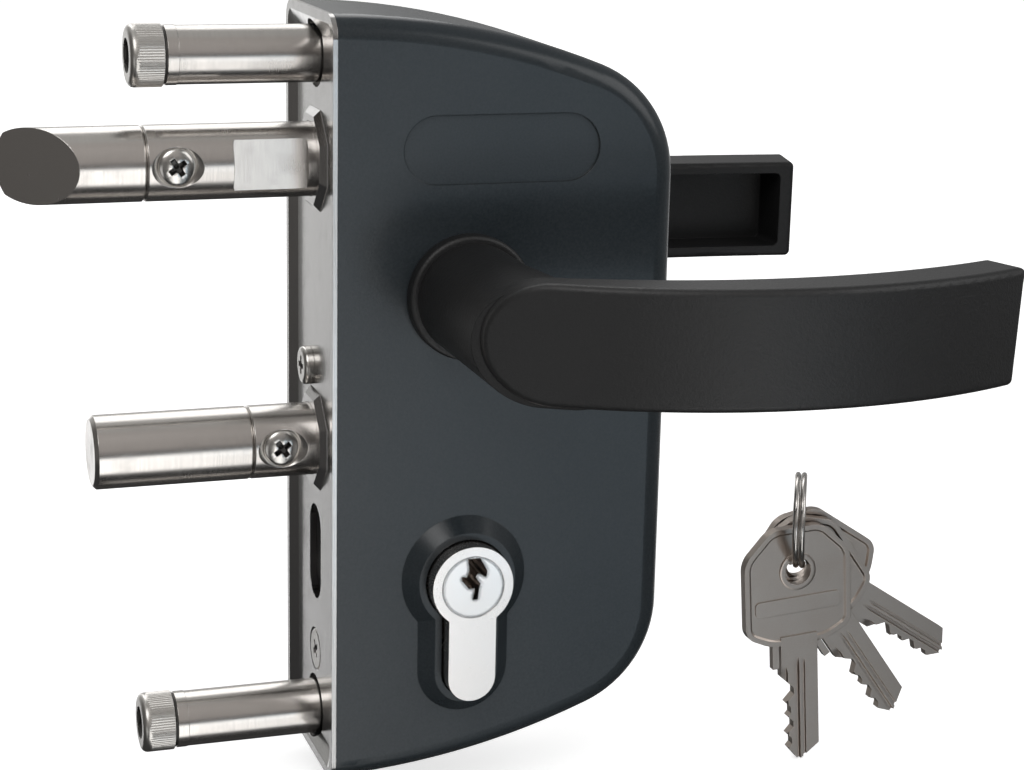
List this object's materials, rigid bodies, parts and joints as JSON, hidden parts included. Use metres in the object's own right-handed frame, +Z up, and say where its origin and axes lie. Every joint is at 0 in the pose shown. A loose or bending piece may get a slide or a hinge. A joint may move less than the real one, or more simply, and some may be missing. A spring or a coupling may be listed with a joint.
{
  "type": "gate lock",
  "caption": "Surface-mounted gate lock for a square post, with sprung bevelled latch, round dead bolt, lever and paddle handles, profile cylinder and loose keys.",
  "frame": {"origin": "centre of the forend rim, on the plane that lies against the gate post, at half the case height and in the mid-plane of the case", "axes": "+X from the post into the lock case, -Y to the front with the lever, +Z up"},
  "size_m": [0.202, 0.1511, 0.1628],
  "materials": {
    "cover_coating": "dark slate-grey fine-texture powder coat",
    "tray_steel": "brushed stainless steel",
    "bolt_steel": "turned stainless steel",
    "screw_steel": "stainless steel screws",
    "handle_plastic": "black glass-filled polyamide",
    "cylinder_nickel": "bright nickel plate",
    "plug_nickel": "satin nickel plate",
    "cam_steel": "sintered steel",
    "plate_steel": "zinc-plated steel",
    "spring_steel": "drawn spring wire",
    "spindle_steel": "drawn steel bar",
    "key_nickel": "nickel-plated key blank",
    "ring_steel": "spring steel wire ring"
  },
  "bodies": {
    "case": {"forend_tray": "tray_steel", "front_cover": "cover_coating", "rear_cover": "cover_coating", "latch_guide": "tray_steel", "deadbolt_guide": "tray_steel", "fixing_screws": "screw_steel", "fixing_washers": "screw_steel", "fixing_sleeves": "bolt_steel", "anchor_blocks": "plate_steel", "tray_screw": "screw_steel", "tray_block": "plate_steel", "cylinder_screw": "screw_steel", "mechanism_plates": "plate_steel", "standoffs": "plate_steel", "cover_screws": "screw_steel", "spring_stop": "plate_steel", "spring_seat": "plate_steel", "return_spring": "spring_steel", "latch_spring": "spring_steel", "cylinder_body": "cylinder_nickel", "front_rose": "handle_plastic", "rear_rose": "handle_plastic", "key_1": "key_nickel", "key_2": "key_nickel", "key_3": "key_nickel", "key_ring": "ring_steel"},
    "handles": {"front_handle": "handle_plastic", "rear_handle": "handle_plastic", "spindle": "spindle_steel", "follower": "plate_steel", "grub_screws": "screw_steel"},
    "latch": {"latch_head": "bolt_steel", "latch_shank": "bolt_steel", "latch_screw": "screw_steel", "latch_tail": "plate_steel"},
    "deadbolt": {"deadbolt_head": "bolt_steel", "deadbolt_shank": "bolt_steel", "deadbolt_screw": "screw_steel", "deadbolt_tail": "plate_steel", "deadbolt_pin": "plate_steel"},
    "front_plug": {"front_plug": "plug_nickel", "cam": "cam_steel"},
    "rear_plug": {"rear_plug": "plug_nickel"}
  },
  "joints": [
    {"name": "handle_turn", "type": "hinge", "parent": "case", "child": "handles", "pos_m": [0.0276, 0, 0.0229], "axis": [0, 1, 0], "range_deg": [0, 38], "stiffness_Nm_per_rad": 0.5, "springref_deg": -34.38, "deforming": ["return_spring"]},
    {"name": "latch_slide", "type": "slide", "parent": "case", "child": "latch", "axis": [1, 0, 0], "range_m": [0, 0.018], "deforming": ["latch_spring"]},
    {"name": "key_turn", "type": "hinge", "parent": "case", "child": "front_plug", "pos_m": [0.0276, 0, -0.0358], "axis": [0, 1, 0], "range_deg": [0, 360]},
    {"name": "deadbolt_slide", "type": "slide", "parent": "case", "child": "deadbolt", "axis": [1, 0, 0], "range_m": [0, 0.02]},
    {"name": "rear_plug_turn", "type": "hinge", "parent": "case", "child": "rear_plug", "pos_m": [0.0276, 0, -0.0358], "axis": [0, 1, 0], "range_deg": [0, 360]}
  ],
  "couplings": [
    {"joint": "latch_slide", "follows": "handle_turn", "m_per_rad": 0.02714},
    {"joint": "key_turn", "follows": "deadbolt_slide", "rad_per_m": 314.15}
  ]
}
